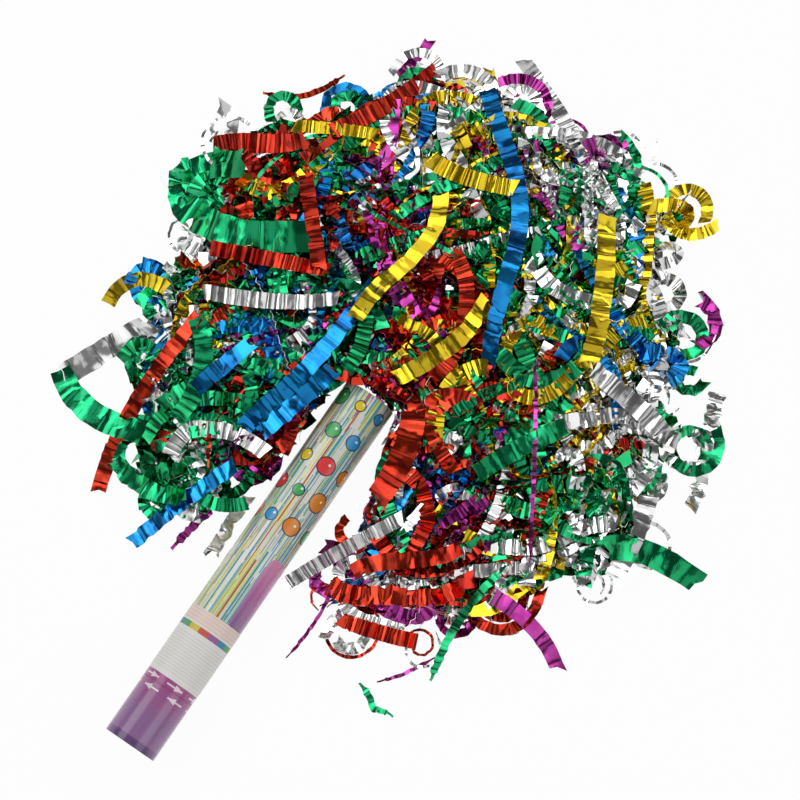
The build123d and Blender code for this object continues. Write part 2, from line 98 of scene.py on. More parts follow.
# Folds and cut ends, as shares of a fold or of the strip's width
fold_rises = (0.15, 0.6, 0.9, 1.0, 1.2, 1.5)
fold_stray = 0.34
corner_slack = 1 / 8
end_reach = 0.45
end_slant = 0.45
tapered_kinds = ("thread", "shred")
taper_reach = 1.2
taper_width = 0.4


def toward(angle):
    return Vector((cos(angle), sin(angle), 0))


view_right = toward(view_azimuth)
view_back = Vector((
    sin(view_azimuth) * cos(view_elevation),
    -cos(view_azimuth) * cos(view_elevation),
    sin(view_elevation),
))
view_up = view_back.cross(view_right)
view_place = view_aim + view_back * view_distance


def new_object(name, data):
    thing = bpy.data.objects.new(name, data)
    bpy.context.collection.objects.link(thing)
    return thing


def set_camera():
    data = bpy.data.cameras.new("photo_camera")
    data.lens, data.sensor_width = lens, sensor
    camera = new_object("photo_camera", data)
    turn = Matrix((view_right, view_up, view_back)).transposed().to_4x4()
    camera.matrix_world = Matrix.Translation(view_place) @ turn
    bpy.context.scene.camera = camera


def spot(pixel, height):
    """The point at that height which the photo shows at that pixel"""
    across = (pixel[0] - photo_side / 2) / focal_pixels
    upward = (photo_side / 2 - pixel[1]) / focal_pixels
    ray = view_right * across + view_up * upward - view_back
    return view_place + ray * ((height - view_place.z) / ray.z)


def pixel_of(point):
    """Where the photo shows that point"""
    ray = point - view_place
    depth = -ray.dot(view_back)
    return (
        photo_side / 2 + focal_pixels * ray.dot(view_right) / depth,
        photo_side / 2 - focal_pixels * ray.dot(view_up) / depth,
    )


# Node wiring
def feed(tree, socket, value):
    if isinstance(value, bpy.types.NodeSocket):
        tree.links.new(value, socket)
    else:
        socket.default_value = (*value, 1) if socket.type == "RGBA" else value


def node(tree, kind, *inputs, out=0, named=None, **settings):
    made = tree.nodes.new("ShaderNode" + kind)
    for name, value in settings.items():
        setattr(made, name, value)
    for place, value in enumerate(inputs):
        feed(tree, made.inputs[place], value)
    for name, value in (named or {}).items():
        feed(tree, made.inputs[name], value)
    return made.outputs[out]


def calc(tree, operation, *inputs):
    return node(tree, "Math", *inputs, operation=operation)


def product(tree, first, *others):
    for other in others:
        first = calc(tree, "MULTIPLY", first, other)
    return first


def below(tree, value, limit):
    """1 where value is less than limit, else 0"""
    return calc(tree, "LESS_THAN", value, limit)


def between(tree, value, low, high):
    """1 where value lies from low to high, else 0"""
    return product(tree, calc(tree, "GREATER_THAN", value, low), below(tree, value, high))


def off_middle(tree, cells):
    """How far a place lies from the middle of its cell, in cells"""
    return calc(tree, "SUBTRACT", calc(tree, "FRACT", cells), 0.5)


def hypotenuse(tree, *sides):
    return calc(tree, "SQRT", calc(tree, "ADD", *[product(tree, side, side) for side in sides]))


def cell_chance(tree, *cell):
    """A random value for each cell"""
    place = node(tree, "CombineXYZ", *cell)
    return node(tree, "TexWhiteNoise", noise_dimensions="3D", named={"Vector": place})


def blend(tree, share, under, over):
    return node(tree, "Mix", data_type="RGBA", named={0: share, 6: under, 7: over}, out=2)


def ramp(tree, value, stops, steps=False):
    made = tree.nodes.new("ShaderNodeValToRGB")
    band = made.color_ramp
    band.interpolation = "CONSTANT" if steps else "LINEAR"
    while len(band.elements) < len(stops):
        band.elements.new(1)
    for element, (place, colour) in zip(band.elements, stops):
        element.position = place
        element.color = (*colour, 1)
    feed(tree, made.inputs[0], value)
    return made.outputs[0]


def two_tone(tree, value, dark, light):
    return ramp(tree, value, [(0.3, dark), (0.7, light)])


def swatches(tree, value, colours):
    """The colours in even steps, for values from 0 to 1"""
    stops = [(number / len(colours), colour) for number, colour in enumerate(colours)]
    return ramp(tree, value, stops, steps=True)


def remap(tree, value, low, high):
    return node(tree, "MapRange", named={"Value": value, "To Min": low, "To Max": high})


def remap_span(tree, value, low, high):
    """0 at low, 1 at high"""
    return calc(tree, "DIVIDE", calc(tree, "SUBTRACT", value, float(low)), float(high - low))


def object_place(tree):
    return node(tree, "TexCoord", out=3)


def axes_of(tree, place):
    return node(tree, "SeparateXYZ", place).node.outputs


def noise(tree, place, scale, detail, roughness=0.55):
    return node(
        tree, "TexNoise", named={"Vector": place, "Scale": scale, "Detail": detail, "Roughness": roughness}
    )


def stretched(tree, place, scale):
    return node(tree, "Mapping", named={"Vector": place, "Scale": scale})


def bump(tree, height, depth, strength):
    return node(tree, "Bump", named={"Height": height, "Distance": depth, "Strength": strength})


def shade(colour, share):
    return [share * part for part in colour]


def new_group(name, inputs, outputs):
    """An empty node group of numbers: inputs are {name: default}, outputs are names"""
    tree = bpy.data.node_groups.new(name, "ShaderNodeTree")
    for label, default in inputs.items():
        socket = tree.interface.new_socket(label, in_out="INPUT", socket_type="NodeSocketFloat")
        socket.default_value = default
    for label in outputs:
        tree.interface.new_socket(label, in_out="OUTPUT", socket_type="NodeSocketFloat")
    return tree, tree.nodes.new("NodeGroupInput").outputs, tree.nodes.new("NodeGroupOutput").inputs


def give(tree, sockets, **values):
    """Feeds sockets by their names, and gives the tree"""
    for name, value in values.items():
        feed(tree, sockets[name], value)
    return tree


def use(tree, group, **values):
    made = tree.nodes.new("ShaderNodeGroup")
    made.node_tree = group
    give(tree, made.inputs, **values)
    return made.outputs


def new_finish(name, **constants):
    """A Principled finish whose named sockets take constants"""
    material = bpy.data.materials.new(name)
    material.use_nodes = True
    sockets = material.node_tree.nodes["Principled BSDF"].inputs
    for label, value in constants.items():
        sockets[label.replace("_", " ")].default_value = value
    return material, material.node_tree


def link_finish(material, colour, rough, rough_span, height, depth, strength):
    """Links a finish's colour, roughness and bump, and gives the finish"""
    tree = material.node_tree
    sockets = tree.nodes["Principled BSDF"].inputs
    feed(tree, sockets["Base Color"], colour)
    feed(tree, sockets["Roughness"], remap(tree, rough, *rough_span))
    feed(tree, sockets["Normal"], bump(tree, height, depth, strength))
    return material


# Effects that several finishes share
def make_tube_place():
    """Along: millimetres from the base. Around: millimetres of arc from the top line"""
    tree, _, outputs = new_group("tube_place", {}, ("Along", "Around"))
    x, y, z = axes_of(tree, object_place(tree))
    around = product(tree, calc(tree, "ARCTAN2", y, z), tube_radius * per_metre)
    return give(tree, outputs, Along=product(tree, x, per_metre), Around=around)


def make_print_streaks():
    """Thin lines along the tube, each column broken into runs of its own colour"""
    tree, inputs, outputs = new_group(
        "print_streaks",
        {"Along": 0, "Around": 0, "Pitch": 2, "Reach": 60, "Line": 0.2, "Share": 0.5, "Seed": 0},
        ("Mask", "Choice"),
    )
    run_shift, choice_salt, least_run = 9.0, 7.0, 0.35
    columns = calc(tree, "DIVIDE", inputs["Around"], inputs["Pitch"])
    column = calc(tree, "FLOOR", columns)
    own = node(tree, "TexWhiteNoise", noise_dimensions="1D",
               named={"W": calc(tree, "ADD", column, inputs["Seed"])})
    runs = calc(tree, "ADD", calc(tree, "DIVIDE", inputs["Along"], inputs["Reach"]),
                product(tree, own, run_shift))
    run = calc(tree, "FLOOR", runs)
    chance = cell_chance(tree, column, run, inputs["Seed"])
    choice = cell_chance(tree, run, column, choice_salt)
    off_line = calc(tree, "ABSOLUTE", off_middle(tree, columns))
    on_line = below(tree, off_line, product(tree, inputs["Line"], choice))
    on_run = below(tree, chance, inputs["Share"])
    in_run = below(tree, calc(tree, "FRACT", runs), remap(tree, choice, least_run, 1.0))
    return give(tree, outputs, Mask=product(tree, on_line, on_run, in_run), Choice=choice)


def make_arrow_row():
    """A ring of arrows round the tube: Way is 1 or -1"""
    tree, inputs, outputs = new_group(
        "arrow_row",
        {"Along": 0, "Around": 0, "Middle": 60, "Pitch": 28, "Length": 18, "Height": 6, "Way": 1, "Shift": 0},
        ("Mask",),
    )
    shaft_share = 0.14
    shifted = calc(tree, "ADD", product(tree, inputs["Around"], inputs["Way"]), inputs["Shift"])
    turns = calc(tree, "DIVIDE", shifted, inputs["Pitch"])
    across = product(tree, off_middle(tree, turns), inputs["Pitch"])
    beside = calc(tree, "ABSOLUTE", calc(tree, "SUBTRACT", inputs["Along"], inputs["Middle"]))
    half = product(tree, inputs["Length"], 0.5)
    to_tip = calc(tree, "SUBTRACT", half, across)
    slope = calc(tree, "DIVIDE", inputs["Height"], inputs["Length"])
    in_head = below(tree, beside, product(tree, to_tip, slope))
    head = product(tree, in_head, below(tree, to_tip, half))
    thin = below(tree, beside, product(tree, inputs["Height"], shaft_share))
    shaft = product(tree, thin, below(tree, calc(tree, "ABSOLUTE", across), half))
    return give(tree, outputs, Mask=calc(tree, "MAXIMUM", head, shaft))


def make_film_sheen():
    """Slack printed film: a soft ripple for the bump, and handling marks for the roughness"""
    tree, inputs, outputs = new_group("film_sheen", {"Ripple": 55, "Marks": 160}, ("Height", "Rubbed"))
    place = object_place(tree)
    long_place = stretched(tree, place, (0.35, 1, 1))
    ripple = noise(tree, long_place, inputs["Ripple"], 2.0)
    marks = noise(tree, long_place, inputs["Marks"], 4.0, 0.65)
    rubbed = ramp(tree, marks, [(0.45, (0, 0, 0)), (0.75, (1, 1, 1))])
    return give(tree, outputs, Height=ripple, Rubbed=rubbed)


def make_foil_creases():
    """Metallised film: fine creases across the strip, a broad buckle and a slow change of the dye"""
    tree, inputs, outputs = new_group(
        "foil_creases", {"Creases": 260, "Buckle": 55}, ("Height", "Dye", "Haze")
    )
    place = object_place(tree)
    strip_place = node(tree, "TexCoord", out=2)
    crease = noise(tree, stretched(tree, strip_place, (1, 0.16, 1)), inputs["Creases"], 2.0)
    buckle = noise(tree, place, inputs["Buckle"], 1.0)
    crease_share = 0.22
    height = calc(tree, "ADD", product(tree, crease, crease_share), buckle)
    dye, haze = noise(tree, place, 24.0, 1.0), noise(tree, place, 210.0, 3.0)
    return give(tree, outputs, Height=height, Dye=dye, Haze=haze)


def make_moulded_grain():
    tree, inputs, outputs = new_group("moulded_grain", {"Grain": 900, "Flow": 40}, ("Height", "Shade"))
    place = object_place(tree)
    flow = noise(tree, stretched(tree, place, (1, 0.5, 0.5)), inputs["Flow"], 3.0)
    return give(tree, outputs, Height=noise(tree, place, inputs["Grain"], 2.0), Shade=flow)


tube_place = make_tube_place()
print_streaks = make_print_streaks()
arrow_row = make_arrow_row()
film_sheen = make_film_sheen()
foil_creases = make_foil_creases()
moulded_grain = make_moulded_grain()

# Print colours of the tube, as linear light
streak_colours = [
    (0.62, 0.55, 0.03), (0.16, 0.16, 0.17), (0.10, 0.42, 0.10), (0.03, 0.16, 0.45), (0.75, 0.72, 0.12),
    (0.55, 0.05, 0.05), (0.40, 0.50, 0.08), (0.05, 0.35, 0.45),
]
dot_colours = [
    (0.75, 0.05, 0.05), (0.80, 0.60, 0.02), (0.05, 0.42, 0.10), (0.03, 0.30, 0.62), (0.75, 0.24, 0.02),
    (0.55, 0.06, 0.32),
]
block_colours = [
    (0.60, 0.10, 0.08), (0.66, 0.52, 0.06), (0.10, 0.36, 0.14), (0.06, 0.24, 0.42), (0.34, 0.10, 0.30),
]
dot_outline, dot_shine = (0.015, 0.02, 0.09), (0.85, 0.85, 0.82)
silver_print = (0.78, 0.77, 0.73)
violet_print = (0.265, 0.138, 0.300)
magenta_print = (0.370, 0.085, 0.250)
cloud_print = (0.31, 0.13, 0.32)
base_band_print = (0.100, 0.048, 0.160)
arrow_print = (0.78, 0.66, 0.74)
blush_print = (0.80, 0.66, 0.60)

# Streaks on the barrel: pitch, reach, line, share of runs shown, seed
streak_layers = (
    (1.35, 46.0, 0.50, 0.66, 3.0), (2.1, 78.0, 0.42, 0.70, 8.0), (4.7, 120.0, 0.22, 0.8, 5.0),
)

# Panel on the barrel: low and high corner as (along, around), corner radius, and its fade
panel = ((141.0, -72.0), (219.0, -14.0), 7.0)
fade_span = (143, 222)
fade_stops = [(0, violet_print), (0.5, (0.46, 0.135, 0.36)), (1, (0.70, 0.28, 0.45))]

# Arrow rows: middle, way, shift
barrel_arrows = (66.6, -1.0, 6.0)
grip_arrows = (55.5, 1.0, 2.0)

# Sticker: ruled fields as pitch, low, high and ink, then its bands
ruled_fields = ((3.2, 76.0, 116.0, (0.42, 0.42, 0.43)), (3.6, 129.5, 142.0, (0.66, 0.34, 0.32)))
rule_share, rule_ink, ruled_half_width = 0.16, 0.55, 50.0
block_band, block_shift, block_run = (121.0, 127.0), 60.0, 54.0
blush_band = (129.0, 144.0)


def tube_coordinates(tree):
    return use(tree, tube_place).values()


def print_arrows(tree, along, around, row, base):
    middle, way, shift = row
    mask = use(tree, arrow_row, Along=along, Around=around, Middle=middle, Way=way, Shift=shift)["Mask"]
    return blend(tree, mask, base, arrow_print)


def rounded_panel(tree, along, around, low, high, corner):
    """1 inside a rounded rectangle: low and high are (along, around)"""
    outside = []
    for value, least, most in zip((along, around), low, high):
        from_centre = calc(tree, "ABSOLUTE", calc(tree, "SUBTRACT", value, (least + most) / 2))
        past_corner = calc(tree, "SUBTRACT", from_centre, (most - least) / 2 - corner)
        outside.append(calc(tree, "MAXIMUM", past_corner, 0.0))
    return below(tree, hypotenuse(tree, *outside), corner)


def print_dots(tree, along, around, base):
    """Outlined party dots in staggered rows round the barrel"""
    first_row, row_pitch, row_count = 236.0, 33.0, 5.0
    dots_round, stagger = 7, 0.38
    colour_salt, size_salt = 3.0, 11.0
    least_radius, most_radius, outline_width = 5.5, 10.5, 1.1
    shine_shift, shine_radius = 2.4, 1.3
    dot_pitch = tube_girth / dots_round
    rows = calc(tree, "DIVIDE", calc(tree, "SUBTRACT", along, first_row), row_pitch)
    row = calc(tree, "FLOOR", rows)
    turns = calc(tree, "ADD", calc(tree, "DIVIDE", around, dot_pitch), product(tree, row, stagger))
    turn = calc(tree, "FLOOR", turns)
    across = product(tree, off_middle(tree, turns), dot_pitch)
    down = product(tree, off_middle(tree, rows), row_pitch)
    distance = hypotenuse(tree, across, down)
    edge = remap(tree, cell_chance(tree, row, turn, size_salt), least_radius, most_radius)
    inner_edge = calc(tree, "SUBTRACT", edge, outline_width)
    on_rows = between(tree, rows, 0.0, row_count)
    outline = product(tree, below(tree, distance, edge), on_rows)
    inside = product(tree, below(tree, distance, inner_edge), on_rows)
    off_shine = hypotenuse(
        tree, calc(tree, "ADD", across, shine_shift), calc(tree, "SUBTRACT", down, shine_shift)
    )
    shine = product(tree, inside, below(tree, off_shine, shine_radius))
    tint = swatches(tree, cell_chance(tree, turn, row, colour_salt), dot_colours)
    colour = blend(tree, outline, base, dot_outline)
    colour = blend(tree, inside, colour, tint)
    return blend(tree, shine, colour, dot_shine)


def barrel_print():
    material, tree = new_finish("barrel_print", Coat_Weight=0.35, Coat_Roughness=0.12, IOR=1.5)
    along, around = tube_coordinates(tree)
    sheen = use(tree, film_sheen, Ripple=45.0)
    colour = two_tone(tree, sheen["Height"], shade(silver_print, 0.9), silver_print)
    for pitch, reach, line, share, seed in streak_layers:
        streaks = use(tree, print_streaks, Along=along, Around=around, Pitch=pitch, Reach=reach,
                      Line=line, Share=share, Seed=seed)
        tint = swatches(tree, streaks["Choice"], streak_colours)
        colour = blend(tree, streaks["Mask"], colour, tint)
    colour = print_dots(tree, along, around, colour)
    fade = ramp(tree, remap_span(tree, along, *fade_span), fade_stops)
    colour = blend(tree, rounded_panel(tree, along, around, *panel), colour, fade)
    foot_end = sticker_start * per_metre + 1.0
    colour = blend(tree, below(tree, along, foot_end), colour, magenta_print)
    colour = print_arrows(tree, along, around, barrel_arrows, colour)
    return link_finish(
        material, colour, sheen["Rubbed"], (0.22, 0.34), sheen["Height"], depth=0.0006, strength=0.5
    )


def grip_print():
    material, tree = new_finish("grip_print", Coat_Weight=0.4, Coat_Roughness=0.1, IOR=1.5)
    along, around = tube_coordinates(tree)
    sheen = use(tree, film_sheen, Ripple=50.0)
    colour = ramp(tree, remap_span(tree, along, 0, grip_end * per_metre), [
        (0.0, base_band_print), (0.11, base_band_print), (0.13, violet_print), (0.5, violet_print),
        (1.0, magenta_print),
    ])
    clouds = noise(tree, object_place(tree), 30.0, 3.0)
    cloud = ramp(tree, clouds, [(0.4, (0, 0, 0)), (0.75, (0.5, 0.5, 0.5))])
    colour = blend(tree, cloud, colour, cloud_print)
    colour = print_arrows(tree, along, around, grip_arrows, colour)
    return link_finish(
        material, colour, sheen["Rubbed"], (0.2, 0.32), sheen["Height"], depth=0.0008, strength=0.5
    )


def sticker_paper():
    """Off-white paper with plain ruling, a strip of colour blocks and a blush band"""
    material, tree = new_finish("sticker_paper", Coat_Weight=0.12, Coat_Roughness=0.3)
    along, around = tube_coordinates(tree)
    paper = noise(tree, object_place(tree), 700.0, 4.0)
    colour = two_tone(tree, paper, (0.74, 0.73, 0.69), (0.80, 0.79, 0.76))
    colour = blend(tree, between(tree, along, *blush_band), colour, blush_print)
    for pitch, low, high, ink in ruled_fields:
        line = below(tree, calc(tree, "FRACT", calc(tree, "DIVIDE", along, pitch)), rule_share)
        margin = below(tree, calc(tree, "ABSOLUTE", around), ruled_half_width)
        ruled = product(tree, line, between(tree, along, low, high), margin, rule_ink)
        colour = blend(tree, ruled, colour, ink)
    block = calc(tree, "FRACT", calc(tree, "DIVIDE", calc(tree, "ADD", around, block_shift), block_run))
    blocks = swatches(tree, block, block_colours)
    colour = blend(tree, between(tree, along, *block_band), colour, blocks)
    return link_finish(material, colour, paper, (0.42, 0.58), paper, depth=0.00006, strength=0.6)


def foil(name, colour, deep):
    """Dyed metallised film: colour in full dye, deep where it lies thicker"""
    material, tree = new_finish(
        name, Metallic=1.0, Coat_Weight=0.25, Coat_Roughness=0.05, Specular_IOR_Level=0.5
    )
    creases = use(tree, foil_creases)
    dye = ramp(tree, creases["Dye"], [(0.35, deep), (0.6, colour)])
    return link_finish(
        material, dye, creases["Haze"], (0.06, 0.20), creases["Height"], depth=0.0018, strength=0.6
    )


def moulded(name, colour, *rough_span):
    material, tree = new_finish(name)
    grain = use(tree, moulded_grain)
    tint = two_tone(tree, grain["Shade"], shade(colour, 0.75), colour)
    return link_finish(
        material, tint, grain["Height"], rough_span, grain["Height"], depth=0.00008, strength=0.7
    )


def turned_metal(name, colour, *rough_span):
    """Turned or drawn metal, its fine lines running round the tube's axis"""
    material, tree = new_finish(name, Metallic=1.0)
    lines = noise(tree, stretched(tree, object_place(tree), (1, 0.04, 0.04)), 2600.0, 3.0)
    tint = two_tone(tree, lines, shade(colour, 0.8), colour)
    return link_finish(material, tint, lines, rough_span, lines, depth=0.00003, strength=0.6)


def fibre_board(name, colour, dark):
    """Wound card: fibres and a spiral joint"""
    winding_pitch, joint_share = 96.0, 0.006
    material, tree = new_finish(name)
    along, around = tube_coordinates(tree)
    fibres = noise(tree, stretched(tree, object_place(tree), (0.3, 1, 1)), 900.0, 5.0, 0.7)
    windings = calc(tree, "DIVIDE", along, winding_pitch)
    windings = calc(tree, "ADD", windings, calc(tree, "DIVIDE", around, tube_girth))
    joint = below(tree, calc(tree, "FRACT", windings), joint_share)
    board = blend(tree, joint, two_tone(tree, fibres, dark, colour), shade(dark, 0.5))
    return link_finish(material, board, fibres, (0.75, 0.95), fibres, depth=0.00015, strength=0.6)


def open_foam(name, colour):
    material, tree = new_finish(name)
    cells = node(tree, "TexVoronoi", named={"Vector": object_place(tree), "Scale": 900.0})
    # painted shade: each foam cell is darker towards its middle, where the bump sinks into a pit
    tint = ramp(tree, cells, [(0.1, shade(colour, 0.55)), (0.5, colour)])
    return link_finish(material, tint, cells, (0.85, 1.0), cells, depth=0.0004, strength=0.8)


# Foils: full dye, deep dye
foil_dyes = {
    "red": ((0.61, 0.040, 0.012), (0.36, 0.012, 0.006)),
    "green": ((0.010, 0.43, 0.165), (0.004, 0.25, 0.080)),
    "blue": ((0.007, 0.26, 0.64), (0.004, 0.12, 0.40)),
    "gold": ((0.82, 0.62, 0.025), (0.64, 0.43, 0.014)),
    "silver": ((0.86, 0.86, 0.85), (0.74, 0.74, 0.74)),
    "magenta": ((0.42, 0.042, 0.30), (0.26, 0.015, 0.18)),
}
foils = {colour: foil(f"foil_{colour}", *dyes) for colour, dyes in foil_dyes.items()}
foil_back = foil("foil_back", (0.84, 0.85, 0.85), (0.72, 0.72, 0.73))

tube_finishes = {
    "barrel_print": barrel_print(),
    "grip_print": grip_print(),
    "sticker_paper": sticker_paper(),
}
for name, make, *values in (
    ("seal_paper", foil, (0.80, 0.80, 0.79), (0.62, 0.62, 0.62)),
    ("kraft_card", fibre_board, (0.36, 0.22, 0.11), (0.24, 0.13, 0.06)),
    ("wad_board", fibre_board, (0.30, 0.26, 0.20), (0.20, 0.17, 0.13)),
    ("wad_foam", open_foam, (0.74, 0.74, 0.70)),
    ("cap_plastic", moulded, (0.020, 0.018, 0.022), 0.35, 0.5),
    ("acetal_plastic", moulded, (0.78, 0.77, 0.70), 0.3, 0.42),
    ("sleeve_plastic", moulded, (0.06, 0.065, 0.07), 0.4, 0.55),
    ("seal_rubber", moulded, (0.012, 0.012, 0.012), 0.6, 0.8),
    ("spring_steel", turned_metal, (0.50, 0.51, 0.52), 0.22, 0.35),
    ("cylinder_aluminium", turned_metal, (0.76, 0.77, 0.78), 0.2, 0.36),
    ("collar_aluminium", turned_metal, (0.72, 0.73, 0.74), 0.24, 0.4),
    ("valve_brass", turned_metal, (0.66, 0.46, 0.17), 0.18, 0.3),
):
    tube_finishes[name] = make(name, *values)


def dress_tube():
    for row in frame["record"]["subparts"]:
        slot = row["material_slot"]
        finish = tube_finishes.get(slot) or foils[slot.removeprefix("foil_")]
        data = frame["nodes"][row["node"]].data
        data.materials.clear()
        data.materials.append(finish)


# Streamers
def heap_top(place):
    """The dome's height at a place"""
    share = min(1.0, (Vector((place.x, place.y, 0)) - heap_centre).length / heap_reach)
    return table + heap_edge_rise + (heap_crown_rise - heap_edge_rise) * (1 - share * share)


def pick(piece, wanted):
    """Selects the corners of a piece in edit mode whose places are wanted"""
    bpy.ops.mesh.select_all(action="DESELECT")
    corners = bmesh.from_edit_mesh(piece.data)
    for corner in corners.verts:
        corner.select = wanted(corner.co)
    corners.select_flush(True)
    bmesh.update_edit_mesh(piece.data)


def crinkled_strip(kind, length, seed):
    """A straight strip along +X, folded to and fro across its length"""
    width, fold, rise, columns, unevenness = strip_kinds[kind]
    draw = random.Random(seed)
    row_count = 2 * round(length / fold)
    bpy.ops.mesh.primitive_grid_add(x_subdivisions=row_count, y_subdivisions=columns, size=1)
    strip = bpy.context.object
    strip.name = f"{kind}_strip_{seed}"
    # UVs in metres, so that creases keep their size on every strip
    for corner in strip.data.uv_layers.active.data:
        corner.uv = (corner.uv.x * length, corner.uv.y * width)
    bpy.ops.object.mode_set(mode="EDIT")
    bpy.ops.transform.translate(value=(0.5, 0, 0))
    bpy.ops.transform.resize(value=(length, width, 1), center_override=(0, 0, 0))
    for row in range(0, row_count + 1, 2):
        row_place = row * length / row_count
        pick(strip, lambda place: abs(place.x - row_place) < fold * corner_slack)
        lift = rise * (-1) ** (row // 2) * draw.choice(fold_rises)
        bpy.ops.transform.translate(value=(draw.uniform(-fold_stray, fold_stray) * fold, 0, lift))
    bpy.ops.mesh.select_all(action="SELECT")
    bpy.ops.transform.vertex_random(offset=unevenness, seed=seed)
    for end, outward in ((0, -1), (length, 1)):
        edge = draw.choice((-1, 1))
        pick(strip, lambda place: (
            abs(place.x - end) < end_reach * fold and place.y * edge > width * corner_slack
        ))
        bpy.ops.transform.translate(value=(outward * draw.uniform(0, end_slant) * width, 0, 0))
        if kind in tapered_kinds:
            pick(strip, lambda place: abs(place.x - end) < taper_reach * fold)
            bpy.ops.transform.resize(value=(1, taper_width, 1), center_override=(0, 0, 0))
    bpy.ops.object.mode_set(mode="OBJECT")
    return strip


strips = {}
streamers = {colour: [] for colour in foil_dyes}
routes = []


def make_strips():
    for kind in strip_kinds:
        for length in strip_lengths:
            for variant in range(strip_variants):
                strips[kind, length, variant] = crinkled_strip(kind, length, len(strips))


def make_route(points):
    """A curve through points, each a place and a tilt, and its length"""
    data = bpy.data.curves.new("streamer_route", "CURVE")
    data.dimensions = "3D"
    data.twist_mode = "Z_UP"
    data.resolution_u = route_resolution
    line = data.splines.new("NURBS")
    line.points.add(len(points) - 1)
    for point, (place, tilt) in zip(line.points, points):
        point.co = (*place, 1)
        point.tilt = tilt
    line.order_u = min(route_order, len(points))
    line.use_endpoint_u = True
    route = new_object("streamer_route", data)
    return route, line.calc_length()


def lay_streamer(colour, kind, points, width_share, variant):
    """A copy of a strip, cut to its route's length and bent along it"""
    route, length = make_route(points)
    cut = min(strip_lengths, key=lambda size: abs(log(length / size)))
    strip = strips[kind, cut, variant % strip_variants]
    copy = strip.copy()
    copy.data = strip.data.copy()
    bpy.context.collection.objects.link(copy)
    copy.data.transform(Matrix.Diagonal((strip_share_of_route * length / cut, width_share, 1, 1)))
    copy.data.materials.append(foils[colour])
    copy.data.materials.append(foil_back)
    bend = copy.modifiers.new("Bend", "CURVE")
    bend.object = route
    bend.deform_axis = "POS_X"
    wall = copy.modifiers.new("Wall", "SOLIDIFY")
    wall.thickness = foil_wall
    wall.offset = 0
    wall.material_offset = 1
    streamers[colour].append(copy)
    routes.append(route)


# The heap's dense part as the photo shows it, in pixels
heap_outline = [
    (420, 78), (470, 84), (520, 112), (575, 135), (618, 160), (655, 190), (684, 215), (650, 255),
    (655, 300), (690, 340), (684, 380), (650, 400), (690, 450), (650, 490), (640, 545), (590, 585),
    (530, 590), (505, 612), (455, 620), (420, 640), (350, 630), (325, 598), (345, 555), (370, 510),
    (380, 462), (394, 424), (372, 403), (340, 392), (304, 438), (270, 484), (236, 466), (190, 500),
    (150, 505), (125, 460), (150, 420), (130, 365), (165, 310), (140, 285), (195, 240), (205, 190),
    (235, 165), (225, 135), (290, 122), (350, 112),
]
outline_edges = [
    (Vector(start), Vector(end)) for start, end in zip(heap_outline, heap_outline[1:] + heap_outline[:1])
]
heap_middle = Vector((405, 365))


def inside_outline(pixel):
    inside = False
    for (x1, y1), (x2, y2) in outline_edges:
        if (y1 > pixel[1]) != (y2 > pixel[1]) and pixel[0] < x1 + (pixel[1] - y1) * (x2 - x1) / (y2 - y1):
            inside = not inside
    return inside


def beyond_outline(pixel):
    """How far a pixel lies outside the heap's dense part"""
    if inside_outline(pixel):
        return 0.0
    point = Vector(pixel)
    gaps = []
    for start, end in outline_edges:
        edge = end - start
        share = max(0.0, min(1.0, (point - start).dot(edge) / edge.length_squared))
        gaps.append((start + edge * share - point).length)
    return min(gaps)


def heap_height(place, share, half_width, tilt):
    """A streamer's height at a place: that share of the dome, and never into the table"""
    least = fold_clearance + half_width * abs(sin(tilt))
    return table + max(least, (heap_top(place) - table) * share)


